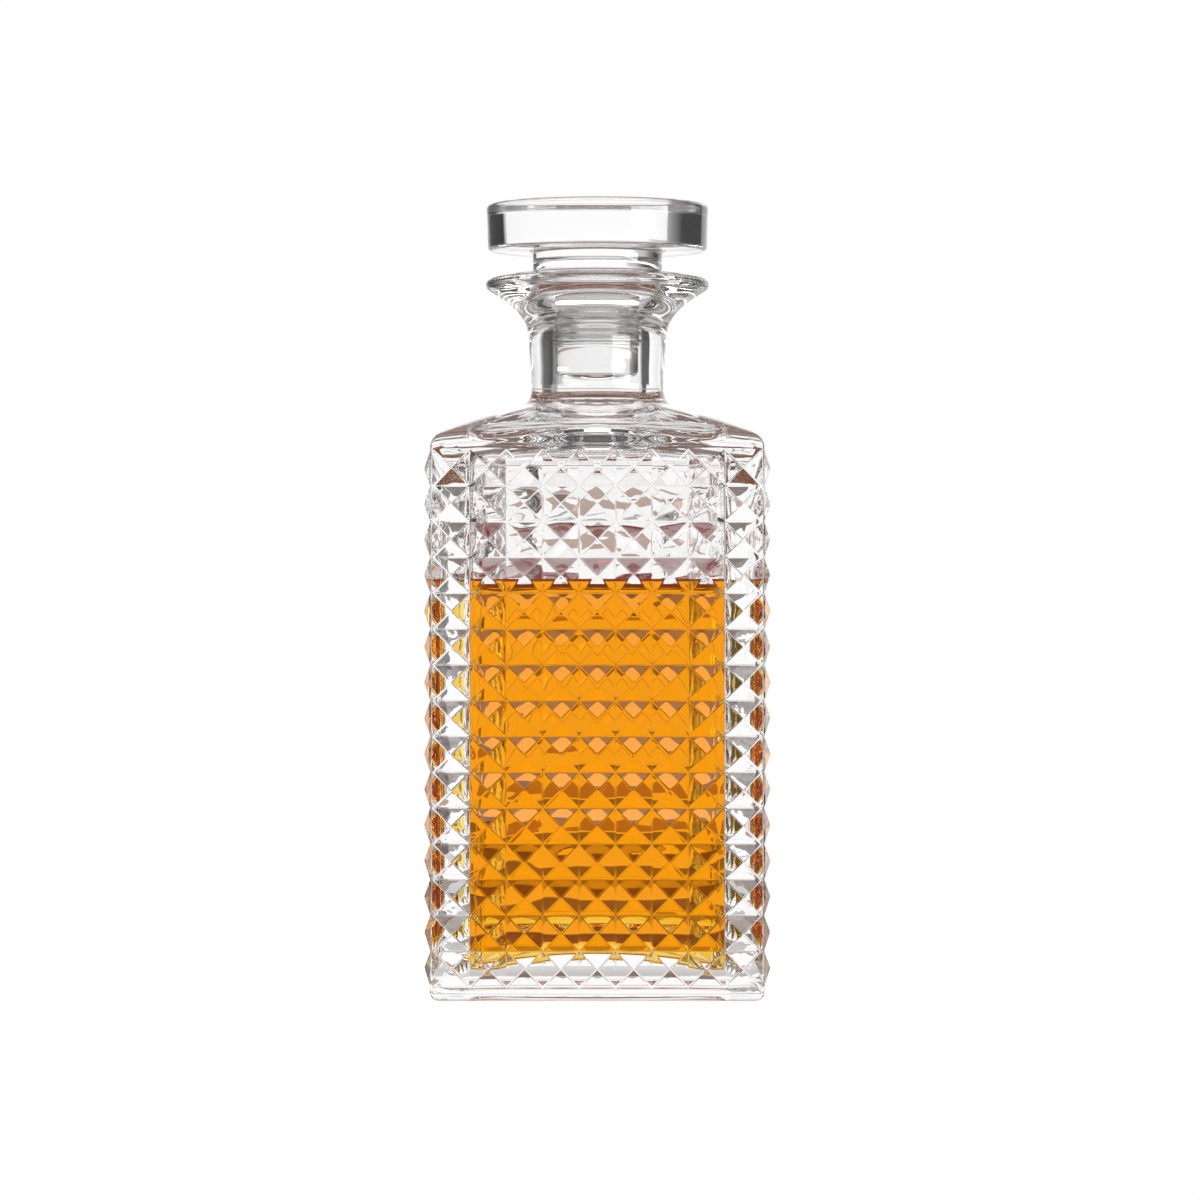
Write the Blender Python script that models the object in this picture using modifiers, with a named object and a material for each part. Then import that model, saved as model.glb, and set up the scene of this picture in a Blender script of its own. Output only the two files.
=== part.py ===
"""Square pressed-glass decanter with a turned glass stopper, a ribbed sealing sleeve and its whisky.

Metres, +Z up. The origin is the centre of the flat underside; the front face looks along -Y.
Every size below is in millimetres and is turned into metres where a point is made.
Heights stack up from the table: base band, stud rows, shoulder, neck, flare, lip, stem, head.
"""
import math

import bmesh
import bpy

MM = 0.001
GAP = 0.3                   # clearance between pieces that touch

# Square body
FACE_HALF = 49.5            # centre to the plane that the studs stand on
STUD_COLUMNS = 9            # pyramids across each face
STUD_ROWS = 15              # pyramids up each face
STUD_PITCH_UP = 10.6        # height of one pyramid's foot
STUD_HEIGHT = 2.0           # pyramid tip above its foot
CORNER_MARGIN = 0.5         # plain strip between the last column and the upright edge
BASE_BAND = 4.2             # plain band under the lowest row
BASE_ROUND = 2.4            # radius of the bottom edge

# Shoulder, from the square body to the round neck
SHOULDER_STRIP = 3.8        # plain upright strip over the top row, at the middle of a face
SHOULDER_ROUND = 4.0        # radius that turns the strip into the slope
SHOULDER_TURN = 68.0        # degrees that this radius turns through
SHOULDER_SLOPE_RISE = 7.4   # from the top of that radius up to the foot of the neck
SHOULDER_CORNER_DROP = 2.8  # how much lower the slope ends over a corner than over a face
NECK_FOOT_RADIUS = 23.2     # where slope and neck meet

# Neck, flare and lip
NECK_RADIUS = 20.2          # just above its foot
NECK_TOP_RADIUS = 21.0      # where the flare starts
NECK_FOOT_RISE = 6.0        # height of the sweep at the foot of the neck
NECK_LENGTH = 12.6          # straight part
FLARE_RISE = 16.4           # from the neck's top to the underside of the lip
LIP_RADIUS = 34.2           # widest point of the mouth
LIP_BEAD = 2.1              # radius of the rounded rim
LIP_CROWN = 3.4             # from the bead's centre up to the flat top of the mouth

# Hollow inside
BORE_RADIUS = 13.8          # through the neck
MOUTH_RADIUS = 17.5         # at the top of the lip
MOUTH_DEPTH = 8.0           # height of the cone between mouth and bore
CAVITY_HALF = 38.6          # centre to the flat inner wall
CAVITY_CORNER = 5.0         # radius of the hollow's upright corners
FLOOR_CREST = 15.0          # height of the floor's middle above the table
FLOOR_CORNER = 7.2          # height of the floor in the corners
FLOOR_ROUND = 4.0           # radius between floor and wall
WALL_TO_STRIP = 5.2         # the inner wall turns inward this far below the top row's upper edge
CEILING_ROUND = 8.0         # radius of that turn
CEILING_RISE = 6.4          # further rise of the ceiling up to the bore
BORE_FOOT = 2.4             # radius at the lower end of the bore

# Stopper
HEAD_RADIUS = 34.0
HEAD_THICK = 14.1
HEAD_TAPER = 0.4            # the head is this much narrower at its underside
HEAD_ROUND = 1.2            # radius of the head's edges
STEM_RADIUS = 19.8
STEM_LENGTH = 6.7           # between the lip and the head
STEM_FILLET = 1.5           # under the head
STEM_ROUND = 0.9            # lower edge of the stem
COLLAR_RADIUS = 13.2        # plug between the stem and the sleeve
COLLAR_LENGTH = 8.0
PLUG_TIP_RADIUS = 12.6      # bead under the sleeve, which keeps it from sliding off
PLUG_TIP_LENGTH = 9.8
PLUG_TIP_ROUND = 1.8
PLUG_TIP_DOME = 0.9         # bulge of the tip's end face

# Ribbed sleeve
SEAL_INNER = 12.2
SEAL_WALL = 0.7
SEAL_LENGTH = 14.2
SEAL_RIBS = 5
SEAL_RIB_TIP = 0.5          # width of a rib at its tip
SEAL_RIB_FOOT = 1.3         # width of a rib at its foot

# Whisky
WHISKY_LEVEL = 124.2        # above the table

# How finely round shapes are divided
TURN_STEPS = 40             # round a turned piece
SIDE_STEPS = 6              # along each straight side of the hollow
CORNER_STEPS = 4            # round each corner of the hollow
ARC_STEPS = 4               # along a small radius
SLOPE_STEPS = 5             # up the shoulder's slope

# Heights that follow from the sizes above
STUDS_TOP = BASE_BAND + STUD_ROWS * STUD_PITCH_UP
STRIP_TOP = STUDS_TOP + SHOULDER_STRIP
SLOPE_START = STRIP_TOP + SHOULDER_ROUND
NECK_FOOT = SLOPE_START + SHOULDER_SLOPE_RISE
NECK_START = NECK_FOOT + NECK_FOOT_RISE
FLARE_START = NECK_START + NECK_LENGTH
LIP_UNDER = FLARE_START + FLARE_RISE
LIP_BEAD_Z = LIP_UNDER + 0.9 * LIP_BEAD
LIP_TOP = LIP_BEAD_Z + LIP_CROWN
STEM_FOOT = LIP_TOP + GAP
HEAD_UNDER = STEM_FOOT + STEM_LENGTH
HEAD_TOP = HEAD_UNDER + HEAD_THICK
SEAL_TOP = STEM_FOOT - COLLAR_LENGTH - GAP
SEAL_FOOT = SEAL_TOP - SEAL_LENGTH
PLUG_TIP_TOP = SEAL_FOOT - GAP
PLUG_END = PLUG_TIP_TOP - PLUG_TIP_LENGTH
CAVITY_WALL_TOP = STUDS_TOP - WALL_TO_STRIP
CEILING_START = CAVITY_WALL_TOP + CEILING_ROUND
BORE_START = CEILING_START + CEILING_RISE + BORE_FOOT


def clear_scene():
    """Remove every object, so that the model starts from nothing."""
    for thing in list(bpy.data.objects):
        bpy.data.objects.remove(thing, do_unlink=True)


def make_collection(name):
    group = bpy.data.collections.new(name)
    bpy.context.scene.collection.children.link(group)
    return group


def make_material(name, colour, roughness, metallic=0.0, transmission=0.0, ior=1.5):
    """A Principled surface with plain values."""
    material = bpy.data.materials.new(name)
    material.use_nodes = True
    shader = material.node_tree.nodes["Principled BSDF"]
    shader.inputs["Base Color"].default_value = (*colour, 1.0)
    shader.inputs["Roughness"].default_value = roughness
    shader.inputs["Metallic"].default_value = metallic
    shader.inputs["Transmission Weight"].default_value = transmission
    shader.inputs["IOR"].default_value = ior
    return material


def arc(centre_r, centre_z, radius, start, end, steps=ARC_STEPS):
    """Points (r, z) along a circular arc; angles in degrees, 0 pointing outward, 90 up."""
    points = []
    for i in range(steps + 1):
        angle = math.radians(start + (end - start) * i / steps)
        points.append((centre_r + radius * math.cos(angle), centre_z + radius * math.sin(angle)))
    return points


def bezier(p0, p1, p2, p3, steps):
    """Points along a cubic curve, both ends included."""
    points = []
    for i in range(steps + 1):
        t = i / steps
        w0, w1, w2, w3 = (1 - t) ** 3, 3 * t * (1 - t) ** 2, 3 * t * t * (1 - t), t ** 3
        points.append(tuple(w0 * a + w1 * b + w2 * c + w3 * d for a, b, c, d in zip(p0, p1, p2, p3)))
    return points


def turned(name, profile, group, closed=False, base=0.0, steps=TURN_STEPS):
    """Spin a profile of (r, z) points about Z. Its heights are measured from base."""
    mesh = bpy.data.meshes.new(name)
    verts = [(r * MM, 0.0, (z - base) * MM) for r, z in profile]
    edges = [(i, i + 1) for i in range(len(verts) - 1)]
    if closed:
        edges.append((len(verts) - 1, 0))
    mesh.from_pydata(verts, edges, [])
    thing = bpy.data.objects.new(name, mesh)
    group.objects.link(thing)
    screw = thing.modifiers.new("turn", 'SCREW')
    screw.axis = 'Z'
    screw.steps = steps
    screw.render_steps = steps
    screw.use_merge_vertices = True
    screw.merge_threshold = 1e-6
    screw.use_smooth_shade = True
    return thing


def skin_rings(bm, rings):
    """Join neighbouring rings of the same number of points, then close both ends."""
    loops = [[bm.verts.new([c * MM for c in point]) for point in ring] for ring in rings]
    strips = []
    count = len(loops[0])
    for lower, upper in zip(loops, loops[1:]):
        strip = []
        for i in range(count):
            j = (i + 1) % count
            strip.append(bm.faces.new((lower[i], lower[j], upper[j], upper[i])))
        strips.append(strip)
    bm.faces.new(list(reversed(loops[0])))
    bm.faces.new(loops[-1])
    return strips


def square_ring(half, z):
    """One level of the square body: the column lines of each face and one point on each corner.

    The corner points lie on a small round, so the upright edges are never razor sharp.
    """
    inner = half - CORNER_MARGIN
    side = [(-inner + 2 * inner * k / STUD_COLUMNS, -half) for k in range(STUD_COLUMNS + 1)]
    soft = CORNER_MARGIN * math.cos(math.radians(45))
    side.append((inner + soft, -inner - soft))
    points = []
    for turn in range(4):
        c, s = round(math.cos(turn * math.pi / 2)), round(math.sin(turn * math.pi / 2))
        points += [(c * x - s * y, s * x + c * y, z) for x, y in side]
    return points


def shoulder_ring(share, z):
    """A section between the neck's foot (share 0) and the square (share 1).

    Points over a corner lie lower than points over the middle of a face.
    """
    points = []
    for x, y, _ in square_ring(FACE_HALF, 0.0):
        reach = math.hypot(x, y)
        corner = (reach / FACE_HALF - 1) / (math.sqrt(2) - 1)
        scale = (NECK_FOOT_RADIUS + (reach - NECK_FOOT_RADIUS) * share) / reach
        points.append((x * scale, y * scale, z - SHOULDER_CORNER_DROP * corner * share ** 2))
    return points


def body_rings():
    """All levels of the outer skin, from the underside up to the foot of the neck."""
    rings = []
    for r, z in arc(FACE_HALF - BASE_ROUND, BASE_ROUND, BASE_ROUND, -90, 0):
        rings.append(square_ring(r, z))
    first_stud_ring = len(rings)
    for row in range(STUD_ROWS + 1):
        rings.append(square_ring(FACE_HALF, BASE_BAND + row * STUD_PITCH_UP))
    span = FACE_HALF - NECK_FOOT_RADIUS
    edge = arc(FACE_HALF - SHOULDER_ROUND, STRIP_TOP, SHOULDER_ROUND, 0, SHOULDER_TURN)
    slope_r, slope_z = edge[-1]
    for i in range(1, SLOPE_STEPS + 1):
        t = i / SLOPE_STEPS
        edge.append((slope_r + (NECK_FOOT_RADIUS - slope_r) * t, slope_z + (NECK_FOOT - slope_z) * t))
    for r, z in edge:
        rings.append(shoulder_ring((r - NECK_FOOT_RADIUS) / span, z))
    return rings, first_stud_ring


def neck_profile():
    """Outer line of lip, flare and neck, from the middle of the mouth down to inside the shoulder."""
    flat_end = MOUTH_RADIUS + 2.0
    crown_middle = (flat_end + LIP_RADIUS - LIP_BEAD) / 2
    sink = 4.0
    points = [(0.0, LIP_TOP), (flat_end, LIP_TOP), (crown_middle, LIP_TOP - 0.3)]
    points += arc(LIP_RADIUS - LIP_BEAD, LIP_BEAD_Z, LIP_BEAD, 85, -62, 6)
    flare_end = points[-1]
    flare = bezier((NECK_TOP_RADIUS, FLARE_START), (NECK_TOP_RADIUS, FLARE_START + 0.5 * FLARE_RISE),
                   (NECK_TOP_RADIUS + 4.0, LIP_UNDER - 4.8), flare_end, 8)
    points += list(reversed(flare))[1:]
    points += bezier((NECK_RADIUS, NECK_START), (NECK_RADIUS, NECK_START - 0.6 * NECK_FOOT_RISE),
                     (NECK_RADIUS + 0.8, NECK_FOOT + 0.8), (NECK_FOOT_RADIUS + 1.2, NECK_FOOT - 1.0), 5)
    points += [(NECK_RADIUS, NECK_FOOT - sink), (0.0, NECK_FOOT - sink)]
    return points


def hollow_section(half, share, height):
    """A closed section of the hollow: share 0 is a circle, share 1 a square with round corners.

    height gives a point's z from its distance to the axis.
    """
    corner = CAVITY_CORNER * half / CAVITY_HALF
    inner = half - corner
    quarter = [(half, -inner + 2 * inner * k / SIDE_STEPS) for k in range(SIDE_STEPS)]
    for k in range(CORNER_STEPS):
        angle = math.pi / 2 * k / CORNER_STEPS
        quarter.append((inner + corner * math.cos(angle), inner + corner * math.sin(angle)))
    points = []
    for turn in range(4):
        c, s = round(math.cos(turn * math.pi / 2)), round(math.sin(turn * math.pi / 2))
        for k, (x, y) in enumerate(quarter):
            angle = math.pi / 2 * (turn + (k - SIDE_STEPS / 2) / len(quarter))
            round_x, round_y = half * math.cos(angle), half * math.sin(angle)
            px = round_x + (c * x - s * y - round_x) * share
            py = round_y + (s * x + c * y - round_y) * share
            points.append((px, py, height(math.hypot(px, py))))
    return points


def floor_height(reach):
    """The floor is domed: highest in the middle, lowest in the corners."""
    corner_reach = (CAVITY_HALF - CAVITY_CORNER) * math.sqrt(2) + CAVITY_CORNER
    return FLOOR_CREST - (FLOOR_CREST - FLOOR_CORNER) * (reach / corner_reach) ** 2


def lower_rings(inset):
    """Floor, rounded rim and foot of the wall, everything moved inward by inset."""
    half = CAVITY_HALF - inset
    rings = []
    for share in (0.2, 0.45, 0.7):
        rings.append(hollow_section(half * share, share, lambda reach: floor_height(reach) + inset))
    for r, z in arc(half - FLOOR_ROUND, FLOOR_ROUND, FLOOR_ROUND, -90, 0):
        rings.append(hollow_section(r, 1.0, lambda reach: floor_height(reach) + z + inset))
    return rings


def hollow_rings():
    """The whole inside: floor, wall, ceiling, bore and the open cone of the mouth."""
    rings = lower_rings(0.0)
    widening = CAVITY_HALF - BORE_RADIUS
    lip_cut = 2.0
    rings.append(hollow_section(CAVITY_HALF, 1.0, lambda _: CAVITY_WALL_TOP))
    line = arc(CAVITY_HALF - CEILING_ROUND, CAVITY_WALL_TOP, CEILING_ROUND, 22, 68)
    line += [(BORE_RADIUS + BORE_FOOT + 7.0, CEILING_START + 0.55 * CEILING_RISE)]
    line += list(reversed(arc(BORE_RADIUS + BORE_FOOT, BORE_START, BORE_FOOT, 180, 260)))
    line += [(BORE_RADIUS, LIP_TOP - MOUTH_DEPTH), (MOUTH_RADIUS, LIP_TOP)]
    line += [(MOUTH_RADIUS + lip_cut * 0.5, LIP_TOP + lip_cut)]
    for r, z in line:
        share = max(0.0, (r - BORE_RADIUS) / widening) if z < BORE_START else 0.0
        rings.append(hollow_section(r, share, lambda _: z))
    return rings


def rings_object(name, rings, group):
    bm = bmesh.new()
    skin_rings(bm, rings)
    mesh = bpy.data.meshes.new(name)
    bm.to_mesh(mesh)
    bm.free()
    thing = bpy.data.objects.new(name, mesh)
    group.objects.link(thing)
    return thing


def make_guide(thing):
    """Mark a cutter or a joining shape, which is not a piece itself."""
    thing.hide_render = True
    thing.display_type = 'WIRE'
    return thing


def boolean(target, tool, operation):
    modifier = target.modifiers.new(tool.name, 'BOOLEAN')
    modifier.operation = operation
    modifier.solver = 'EXACT'
    modifier.object = tool


def make_body(parts, guides):
    """The glass vessel: studded square skin, joined to the turned neck and hollowed through the mouth."""
    rings, first = body_rings()
    bm = bmesh.new()
    strips = skin_rings(bm, rings)
    points_a_side = STUD_COLUMNS + 2
    feet = []
    for strip in strips[first:first + STUD_ROWS]:
        feet += [face for i, face in enumerate(strip) if i % points_a_side < STUD_COLUMNS]
    bm.normal_update()
    bmesh.ops.poke(bm, faces=feet, offset=STUD_HEIGHT * MM, center_mode='MEAN')
    mesh = bpy.data.meshes.new("decanter_body")
    bm.to_mesh(mesh)
    bm.free()
    body = bpy.data.objects.new("decanter_body", mesh)
    parts.objects.link(body)
    neck = make_guide(turned("neck_shape", neck_profile(), guides))
    hollow = make_guide(rings_object("hollow_shape", hollow_rings(), guides))
    boolean(body, neck, 'UNION')
    boolean(body, hollow, 'DIFFERENCE')
    return body


def stopper_profile():
    """Down the outside of the stopper: head, stem, collar, groove for the sleeve, tip."""
    under = HEAD_RADIUS - HEAD_TAPER
    groove = SEAL_INNER - GAP
    points = [(0.0, HEAD_TOP)]
    points += arc(HEAD_RADIUS - HEAD_ROUND, HEAD_TOP - HEAD_ROUND, HEAD_ROUND, 90, 0, 3)
    points += arc(under - HEAD_ROUND, HEAD_UNDER + HEAD_ROUND, HEAD_ROUND, 0, -90, 3)
    points += arc(STEM_RADIUS + STEM_FILLET, HEAD_UNDER - STEM_FILLET, STEM_FILLET, 90, 180, 3)
    points += arc(STEM_RADIUS - STEM_ROUND, STEM_FOOT + STEM_ROUND, STEM_ROUND, 0, -90, 3)
    points += [(COLLAR_RADIUS + STEM_FILLET, STEM_FOOT), (COLLAR_RADIUS, STEM_FOOT - STEM_FILLET)]
    points += [(COLLAR_RADIUS, SEAL_TOP + GAP), (groove, SEAL_TOP + GAP)]
    points += [(groove, PLUG_TIP_TOP), (PLUG_TIP_RADIUS, PLUG_TIP_TOP - 0.4)]
    points += arc(PLUG_TIP_RADIUS - PLUG_TIP_ROUND, PLUG_END + PLUG_TIP_DOME + PLUG_TIP_ROUND,
                  PLUG_TIP_ROUND, 0, -75, 4)
    points += [(PLUG_TIP_RADIUS * 0.5, PLUG_END + 0.25 * PLUG_TIP_DOME), (0.0, PLUG_END)]
    return points


def seal_profile():
    """A short tube with pointed ribs around its outside; the rib tips just clear the bore."""
    wall = SEAL_INNER + SEAL_WALL
    tip = BORE_RADIUS - GAP
    pitch = SEAL_LENGTH / SEAL_RIBS
    points = [(wall, SEAL_TOP)]
    for rib in range(SEAL_RIBS):
        middle = SEAL_TOP - pitch * (rib + 0.5)
        points += [(wall, middle + SEAL_RIB_FOOT / 2), (tip, middle + SEAL_RIB_TIP / 2),
                   (tip, middle - SEAL_RIB_TIP / 2), (wall, middle - SEAL_RIB_FOOT / 2)]
    points += [(wall, SEAL_FOOT), (SEAL_INNER, SEAL_FOOT), (SEAL_INNER, SEAL_TOP)]
    return points


def make_stopper(parts):
    """Stopper and sleeve hang from one empty, which lies on the axis that they turn and lift along."""
    axis = bpy.data.objects.new("stopper_axis", None)
    axis.location = (0.0, 0.0, LIP_TOP * MM)
    parts.objects.link(axis)
    stopper = turned("stopper", stopper_profile(), parts, base=LIP_TOP)
    seal = turned("stopper_seal", seal_profile(), parts, closed=True, base=LIP_TOP)
    for piece in (stopper, seal):
        piece.parent = axis
    return stopper, seal


def make_whisky(parts):
    """The liquid fills the hollow up to its level, just clear of the glass."""
    rings = lower_rings(GAP)
    rings.append(hollow_section(CAVITY_HALF - GAP, 1.0, lambda _: WHISKY_LEVEL))
    return rings_object("whisky", rings, parts)


clear_scene()
pieces = make_collection("cut_crystal_decanter")
shapes = make_collection("shaping_tools")

vessel = make_body(pieces, shapes)
plug, sleeve = make_stopper(pieces)
liquid = make_whisky(pieces)

CLEAR = (0.95, 0.96, 0.96)
MILKY = (0.86, 0.87, 0.87)
AMBER = (0.95, 0.42, 0.02)
crystal = make_material("clear_crystal", CLEAR, 0.02, transmission=1.0, ior=1.52)
vessel.data.materials.append(crystal)
stopper_crystal = make_material("clear_crystal_stopper", CLEAR, 0.02, transmission=1.0, ior=1.52)
plug.data.materials.append(stopper_crystal)
polyethylene = make_material("clear_polyethylene", MILKY, 0.25, transmission=0.8, ior=1.5)
sleeve.data.materials.append(polyethylene)
whisky = make_material("amber_whisky", AMBER, 0.02, transmission=0.9, ior=1.36)
liquid.data.materials.append(whisky)
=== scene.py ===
# %% [markdown]
# # A square crystal decanter with its whisky
# The solid model of the decanter is the frame of this lesson: every piece made here lies
# in the same place, in metres, with +Z up and the front face looking along -Y.
# We make four things again with a finer surface: the glass vessel, the glass stopper, its ribbed
# sealing sleeve and the whisky. Each rides on the body of the frame that it belongs to.

# %% Load the frame
import math

import bmesh
import bpy
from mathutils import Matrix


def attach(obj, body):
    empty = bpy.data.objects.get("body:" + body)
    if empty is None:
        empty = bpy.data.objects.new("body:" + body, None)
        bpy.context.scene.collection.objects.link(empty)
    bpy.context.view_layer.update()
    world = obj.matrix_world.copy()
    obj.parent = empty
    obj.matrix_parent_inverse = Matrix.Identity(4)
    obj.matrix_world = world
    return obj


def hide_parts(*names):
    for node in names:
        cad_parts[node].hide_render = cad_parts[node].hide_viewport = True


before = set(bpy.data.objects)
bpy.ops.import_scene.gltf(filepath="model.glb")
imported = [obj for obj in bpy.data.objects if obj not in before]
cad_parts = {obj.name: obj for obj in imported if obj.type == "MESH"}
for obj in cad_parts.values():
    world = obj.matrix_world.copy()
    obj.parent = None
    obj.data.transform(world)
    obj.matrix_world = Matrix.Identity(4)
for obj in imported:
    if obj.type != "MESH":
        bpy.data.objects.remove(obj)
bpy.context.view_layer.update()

MM = 0.001
scene = bpy.context.scene

# %% [markdown]
# ## The camera
# A bottle is usually shot level and from far off with a long lens, so that its upright
# edges stay upright. The camera stands level at about half the decanter's height.

# %% Camera
CAMERA_HEIGHT = 118.8 * MM
CAMERA_DISTANCE = 1.411
CAMERA_SIDE = 0.8 * MM
SENSOR_WIDTH = 36.0
FRAME_WIDTH_AT_AXIS = 368.04 * MM

camera_data = bpy.data.cameras.new("camera")
camera_data.sensor_width = SENSOR_WIDTH
camera_data.lens = SENSOR_WIDTH * CAMERA_DISTANCE / FRAME_WIDTH_AT_AXIS
camera_data.clip_start = 0.05
camera = bpy.data.objects.new("camera", camera_data)
camera.location = (CAMERA_SIDE, -CAMERA_DISTANCE, CAMERA_HEIGHT)
camera.rotation_euler = (math.radians(90), 0, 0)
scene.collection.objects.link(camera)
scene.camera = camera
print("lens:", round(camera_data.lens, 1), "mm")

# %% [markdown]
# ## Light that has to go through glass
# Light passes many surfaces on its way through a cut vessel, so a ray is allowed many bounces.
# The plain colour transform keeps the white background white and the amber strong.

# %% Light paths
scene.cycles.max_bounces = 40
scene.cycles.transmission_bounces = 40
scene.cycles.glossy_bounces = 12
scene.cycles.transparent_max_bounces = 24
scene.cycles.sample_clamp_indirect = 6.0
scene.cycles.blur_glossy = 0.3
scene.view_settings.view_transform = 'Standard'
scene.view_settings.look = 'None'
print("bounces allowed:", scene.cycles.max_bounces)

# %% [markdown]
# ## Sizes of the vessel
# These repeat the solid model's own sizes, in millimetres. The heights stack up from the table.

# %% Sizes
FACE_HALF = 49.5
STUD_COLUMNS = 9
STUD_ROWS = 15
STUD_PITCH_UP = 10.6
STUD_HEIGHT = 2.0
CORNER_ROUND = 1.0
BASE_BAND = 4.2
BASE_ROUND = 2.4
SHOULDER_STRIP = 3.8
SHOULDER_ROUND = 4.0
SHOULDER_CORNER_DROP = 2.8
SHOULDER_SLOPE_RISE = 7.4
NECK_FOOT_RADIUS = 23.2
NECK_RADIUS = 20.2
NECK_TOP_RADIUS = 21.0
NECK_FOOT_RISE = 6.0
NECK_LENGTH = 12.6
FLARE_RISE = 16.4
LIP_RADIUS = 34.2
LIP_BEAD = 2.1
LIP_CROWN = 3.4
BORE_RADIUS = 13.8
MOUTH_RADIUS = 17.5
MOUTH_DEPTH = 8.0
CAVITY_HALF = 38.6
CAVITY_CORNER = 5.0
FLOOR_CREST = 15.0
FLOOR_CORNER = 7.2
FLOOR_ROUND = 4.0
WALL_FOOT_RISE = 1.0
WALL_TO_STRIP = 5.2
CEILING_ROUND = 8.0
CEILING_RISE = 6.4
BORE_FOOT = 2.4
BORE_FOOT_RISE = 1.2
WHISKY_LEVEL = 124.2

STUDS_TOP = BASE_BAND + STUD_ROWS * STUD_PITCH_UP
STRIP_TOP = STUDS_TOP + SHOULDER_STRIP
NECK_FOOT = STRIP_TOP + SHOULDER_ROUND + SHOULDER_SLOPE_RISE
NECK_START = NECK_FOOT + NECK_FOOT_RISE
FLARE_START = NECK_START + NECK_LENGTH
LIP_UNDER = FLARE_START + FLARE_RISE
LIP_BEAD_Z = LIP_UNDER + 0.9 * LIP_BEAD
LIP_TOP = LIP_BEAD_Z + LIP_CROWN
CAVITY_WALL_TOP = STUDS_TOP - WALL_TO_STRIP
CEILING_START = CAVITY_WALL_TOP + CEILING_ROUND
BORE_START = CEILING_START + CEILING_RISE + BORE_FOOT
BORE_END = BORE_START + BORE_FOOT_RISE
WALL_FOOT = FLOOR_CREST + WALL_FOOT_RISE

# %% [markdown]
# ## Rings
# The vessel changes from a square to a circle and back on its way up, over the lip and down
# inside. Such a skin is easiest as a stack of rings with the same number of points, each
# joined to the next. A point keeps its place in every ring, so nothing twists. The spare points
# on each side let the round neck be smooth, though the studs only need one point for each column.

# %% Ring helpers
SUB_STEPS = 5
CORNER_STEPS = 8
CORNER_FIRST = 24.0
SIDE_STEPS = STUD_COLUMNS * SUB_STEPS
QUARTER = SIDE_STEPS + CORNER_STEPS
RING = 4 * QUARTER


def arc(centre_r, centre_z, radius, start, end, steps):
    """Points (r, z) along a circular arc; angles in degrees, 0 outward, 90 up."""
    points = []
    for i in range(steps + 1):
        angle = math.radians(start + (end - start) * i / steps)
        points.append((centre_r + radius * math.cos(angle), centre_z + radius * math.sin(angle)))
    return points


def bezier(p0, p1, p2, p3, steps):
    """Points along a cubic curve, both ends included."""
    points = []
    for i in range(steps + 1):
        t = i / steps
        w = ((1 - t) ** 3, 3 * t * (1 - t) ** 2, 3 * t * t * (1 - t), t ** 3)
        points.append(tuple(sum(a * q[k] for a, q in zip(w, (p0, p1, p2, p3))) for k in (0, 1)))
    return points


def square_points(half, sub_steps=SUB_STEPS, corner=CORNER_ROUND, first=CORNER_FIRST):
    """Outline of a square with round corners, anticlockwise from the front left.

    The first and last step round a corner are wide enough for the ends of the rounded ridges."""
    inner = half - corner
    count = STUD_COLUMNS * sub_steps
    side = [(-inner + 2 * inner * k / count, -half) for k in range(count)]
    for k in range(CORNER_STEPS):
        turn = first + (90 - 2 * first) * (k - 1) / (CORNER_STEPS - 2) if k else 0.0
        angle = math.radians(turn - 90)
        side.append((inner + corner * math.cos(angle), -inner + corner * math.sin(angle)))
    points = []
    for turn in range(4):
        c, s = round(math.cos(turn * math.pi / 2)), round(math.sin(turn * math.pi / 2))
        points += [(c * x - s * y, s * x + c * y) for x, y in side]
    return points


def ring_angle(index):
    """Direction of a ring's point where the section is round; the middle of a corner lies at 45 degrees."""
    return math.radians(-45 + (index - SIDE_STEPS - CORNER_STEPS / 2) * 90 / QUARTER)


SQUARE = square_points(FACE_HALF)


def mixed_ring(round_radius, share, z, drop=0.0):
    """share 0 is a circle of round_radius, share 1 the square outline."""
    points = []
    for i, (x, y) in enumerate(SQUARE):
        a = ring_angle(i)
        cx, cy = round_radius * math.cos(a), round_radius * math.sin(a)
        corner = (math.hypot(x, y) / FACE_HALF - 1) / (math.sqrt(2) - 1)
        points.append((cx + (x - cx) * share, cy + (y - cy) * share, z - drop * corner * share ** 2))
    return points


WAVE_HEIGHT = 0.05
CORNER_WAVE = 5.0
WAVE_FADE = 8.0
# each wave: (size, waves per millimetre up the wall, waves per millimetre along it)
WAVES = ((1.0, 1 / STUD_PITCH_UP, 0.0), (0.8, 1 / 23, 1 / 31), (0.5, 1 / 7.3, -1 / 19))


def wall_wave(along, z):
    """How far the inner wall swells outward at a place: a few waves, stronger towards the corners."""
    swell = sum(size * math.sin(2 * math.pi * (z * up + along * across)) for size, up, across in WAVES)
    beside_corner = abs(math.cos(math.pi * along / (2 * CAVITY_HALF))) ** 3
    return WAVE_HEIGHT * (1 + CORNER_WAVE * beside_corner) * swell


def inner_ring(half, share, height, wavy=0.0):
    """A section of the hollow: share 0 is a circle, share 1 a square with well-rounded corners."""
    corner = CAVITY_CORNER * half / CAVITY_HALF
    points = []
    for i, (x, y) in enumerate(square_points(half, corner=corner, first=90 / CORNER_STEPS)):
        a = ring_angle(i)
        cx, cy = half * math.cos(a), half * math.sin(a)
        px, py = cx + (x - cx) * share, cy + (y - cy) * share
        z = height(math.hypot(px, py))
        along = 4 * 2 * CAVITY_HALF * i / RING
        swell = 1 + wavy * wall_wave(along, z) / CAVITY_HALF
        points.append((px * swell, py * swell, z))
    return points


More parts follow.
